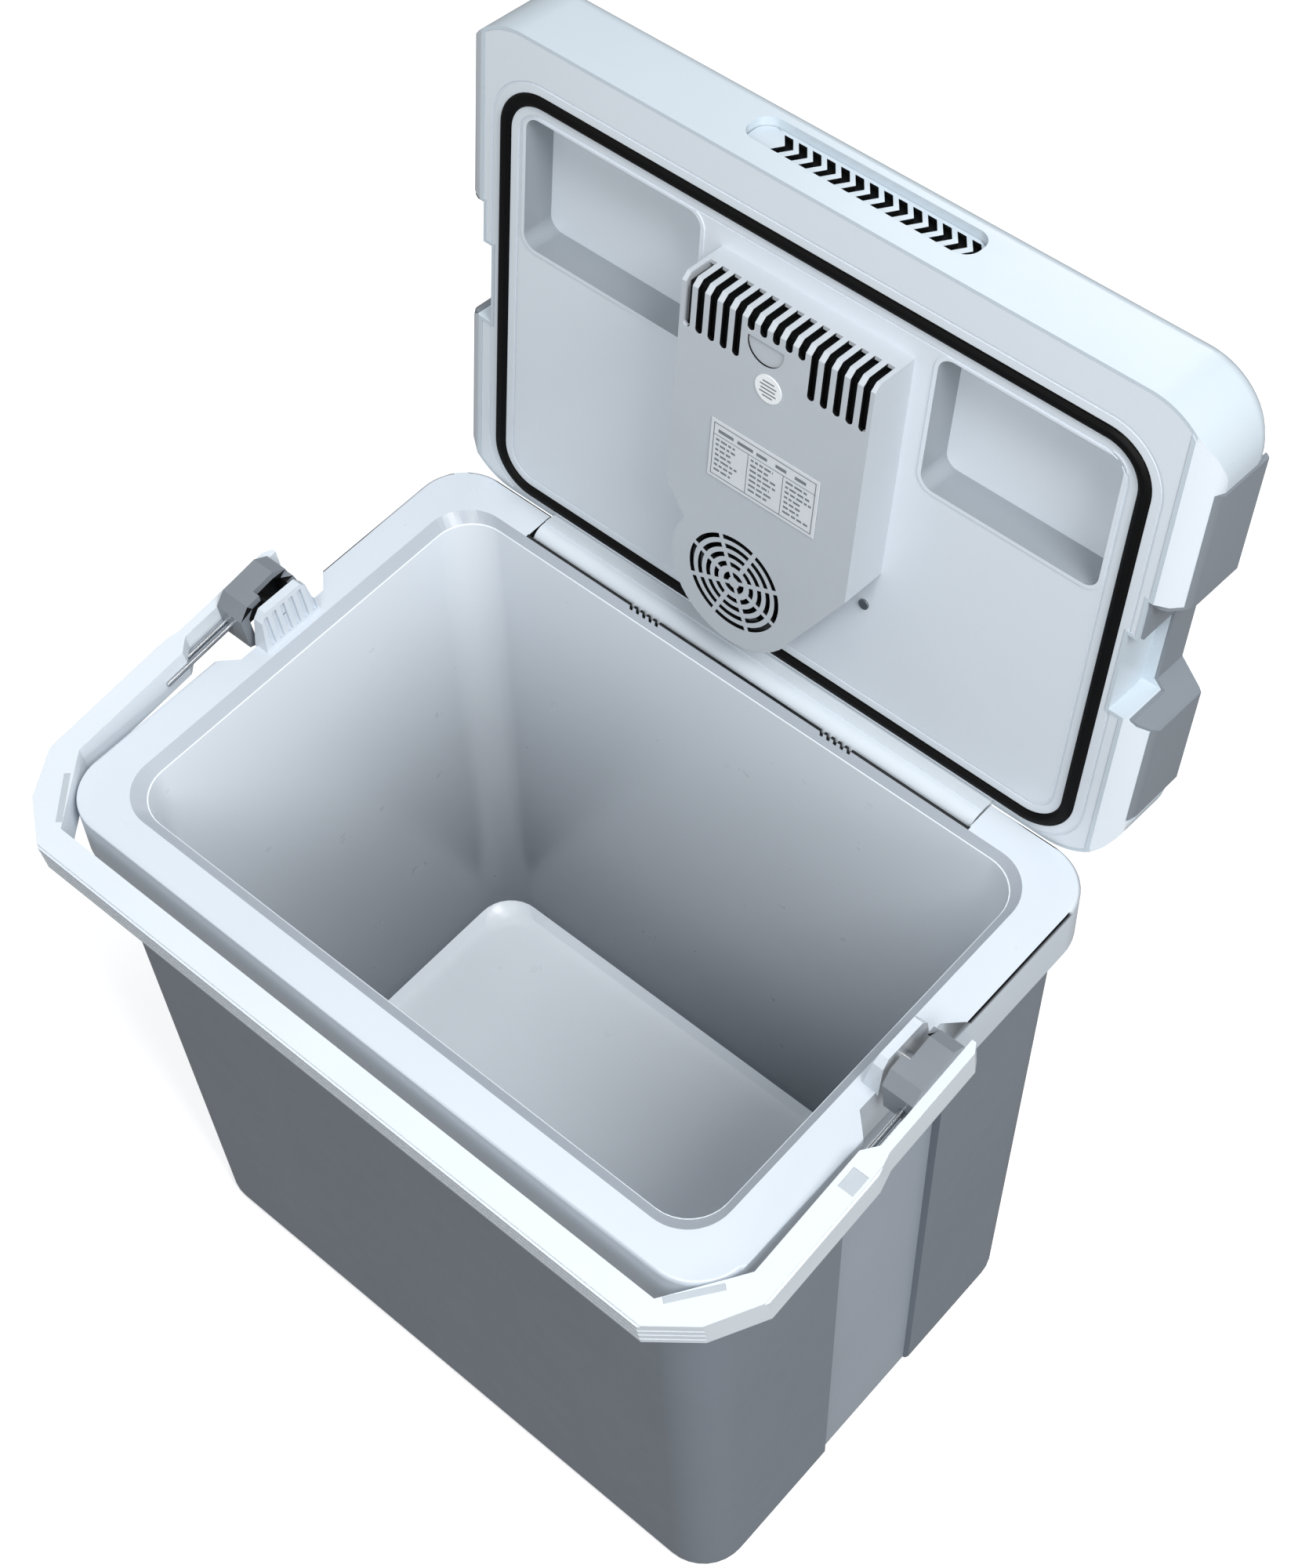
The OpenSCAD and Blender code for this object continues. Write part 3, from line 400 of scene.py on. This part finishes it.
# ---------- pieces added to the CAD ----------
def lid_piece(name, boxes, look, body="lid"):
    """Makes one piece of plain boxes (x0, x1, y0, y1, z0, z1), in mm in the lid's frame."""
    verts, faces = [], []
    for x0, x1, y0, y1, z0, z1 in boxes:
        k = len(verts)
        corners = ((x0, y0, z0), (x1, y0, z0), (x1, y1, z0), (x0, y1, z0),
                   (x0, y0, z1), (x1, y0, z1), (x1, y1, z1), (x0, y1, z1))
        verts += [[v * MM for v in corner] for corner in corners]
        faces += [(k, k + 3, k + 2, k + 1), (k + 4, k + 5, k + 6, k + 7), (k, k + 1, k + 5, k + 4),
                  (k + 1, k + 2, k + 6, k + 5), (k + 2, k + 3, k + 7, k + 6), (k + 3, k, k + 4, k + 7)]
    me = bpy.data.meshes.new(name)
    me.from_pydata(verts, [], faces)
    me.transform(LID)
    me.flip_normals()   # LID mirrors
    me.materials.append(MATERIALS[look].material)
    o = bpy.data.objects.new(name, me)
    bpy.context.scene.collection.objects.link(o)
    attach(o, body)


def plate_print():
    """Generic print on the rating plate: a ruled frame and rows of meaningless bars."""
    rng = random.Random(7)
    x0, x1, y0, y1 = -25, 39, 142, 175
    line, thin_line, head = 0.5, 0.4, 7.5
    column, first_row, row_step, text_height, gap = 22, 10.6, 3.2, 1.3, 0.9
    bars = [(x0, x1, y0, y0 + line), (x0, x1, y1 - line, y1), (x0, x0 + line, y0, y1),
            (x1 - line, x1, y0, y1), (x0, x1, y1 - head, y1 - head + thin_line)]
    bars += [(x0 + i * column, x0 + i * column + thin_line, y0, y1 - head) for i in (1, 2)]
    for col in range(3):
        for row in range(7):
            y = y1 - first_row - row * row_step
            x = x0 + 2 + col * column
            end = x + rng.uniform(9, 18)
            while x < end:
                length = rng.uniform(1.6, 5)
                bars.append((x, min(x + length, end), y, y + text_height))
                x += length + gap
    for i in range(5):
        x = x0 + 3 + i * 12
        bars.append((x, x + rng.uniform(6, 10), y1 - 5.2, y1 - 3.2))
    return bars


def sticker_print():
    """Five short bars on the round sticker."""
    middle_x, middle_y, height = 4.5, 213, 0.8
    rows = ((3.5, 3.6), (5, 1.4), (4.4, -0.8), (5, -3), (3, -5))
    return [(middle_x - half, middle_x + half, middle_y + y, middle_y + y + height) for half, y in rows]


# heights in the lid's frame, in millimetres
INK = 0.08
PLATE_FACE = -20.56
STICKER_FACE = -20.46
plate_bars = [bar + (PLATE_FACE, PLATE_FACE + INK) for bar in plate_print()]
sticker_bars = [bar + (STICKER_FACE, STICKER_FACE + INK) for bar in sticker_print()]
lid_piece("rating_plate_print", plate_bars, "ink")
lid_piece("sticker_print", sticker_bars, "ink")

# dark sheets behind the front vent and the cover's louvres: painted shade behind the openings
vent_sheet = [(-60, 74, 295.3, 295.7, 24, 45)]
slot_sheets = [(-49, 61.5, 218, 245.8, -16.6, -16.2), (-49, 61.5, 245.4, 245.8, -16.6, -1)]
lid_piece("vent_shade_sheet", vent_sheet, "black")
lid_piece("slot_shade_sheet", slot_sheets, "black")


# ---------- stage, light and camera ----------
floor_me = bpy.data.meshes.new("floor")
reach, level = 6, -0.0004
floor_me.from_pydata([(-reach, -reach, level), (reach, -reach, level), (reach, reach, level),
                      (-reach, reach, level)], [], [(0, 1, 2, 3)])
floor = bpy.data.objects.new("floor", floor_me)
bpy.context.scene.collection.objects.link(floor)
floor_look = bpy.data.materials.new("pale floor")
floor_look.use_nodes = True
floor_shader = floor_look.node_tree.nodes["Principled BSDF"]
floor_shader.inputs["Base Color"].default_value = (0.93, 0.93, 0.93, 1)
floor_shader.inputs["Roughness"].default_value = 0.8
floor_shader.inputs["Specular IOR Level"].default_value = 0.1
floor_shader.inputs["Emission Color"].default_value = (1, 1, 1, 1)
floor_shader.inputs["Emission Strength"].default_value = 0.36
floor.visible_diffuse = False
floor.visible_glossy = False
floor_me.materials.append(floor_look)

world = bpy.data.worlds.new("studio")
bpy.context.scene.world = world
world.use_nodes = True
background = world.node_tree.nodes["Background"]
background.inputs["Color"].default_value = (0.97, 0.985, 1.0, 1)
background.inputs["Strength"].default_value = 0.33


def area(name, loc, target, size, power, col):
    """A square soft box at a place, aimed at a target; its size is in metres, its power in watts."""
    lamp = bpy.data.lights.new(name, "AREA")
    lamp.shape = "SQUARE"
    lamp.size = size
    lamp.energy = power
    lamp.color = col
    o = bpy.data.objects.new(name, lamp)
    o.location = loc
    o.rotation_euler = (Vector(target) - Vector(loc)).to_track_quat("-Z", "Y").to_euler()
    bpy.context.scene.collection.objects.link(o)


area("key", (1.5, -0.3, 2.5), (0, 0, 0.3), 0.9, 44, (1, 0.995, 0.985))
area("front", (0.5, -1.5, 2.2), (0, 0, 0.3), 0.8, 21, (1, 1, 1))
area("side", (2.6, -0.5, 1.2), (0, 0, 0.2), 0.8, 15, (1, 1, 1))
area("down", (0.45, -0.35, 2.6), (0, 0, 0.1), 0.4, 7, (1, 1, 1))
area("left", (-2.2, 0.4, 1.9), (0, 0, 0.3), 1.2, 6, (0.94, 0.97, 1))
area("rear", (-0.7, 2.5, 1.7), (0, 0, 0.3), 1.2, 12, (0.97, 0.98, 1))

camera_data = bpy.data.cameras.new("camera")
camera_data.sensor_fit = "HORIZONTAL"
camera_data.sensor_width = 36.0
camera_data.lens = 77.76
camera = bpy.data.objects.new("camera", camera_data)
bpy.context.scene.collection.objects.link(camera)
# the camera's place and the two directions that say how it is turned
place = Vector((0.59856, -0.55715, 1.59635))
right = Vector((0.751491, 0.658903, -0.033280)).normalized()
back = Vector((0.403745, -0.419412, 0.813070)).normalized()
up = back.cross(right).normalized()
right = up.cross(back).normalized()
camera.matrix_world = Matrix((right, up, back)).transposed().to_4x4()
camera.matrix_world.translation = place
bpy.context.scene.camera = camera
bpy.context.scene.view_settings.view_transform = "Standard"
bpy.context.scene.view_settings.look = "None"
bpy.context.scene.view_settings.exposure = 0.0
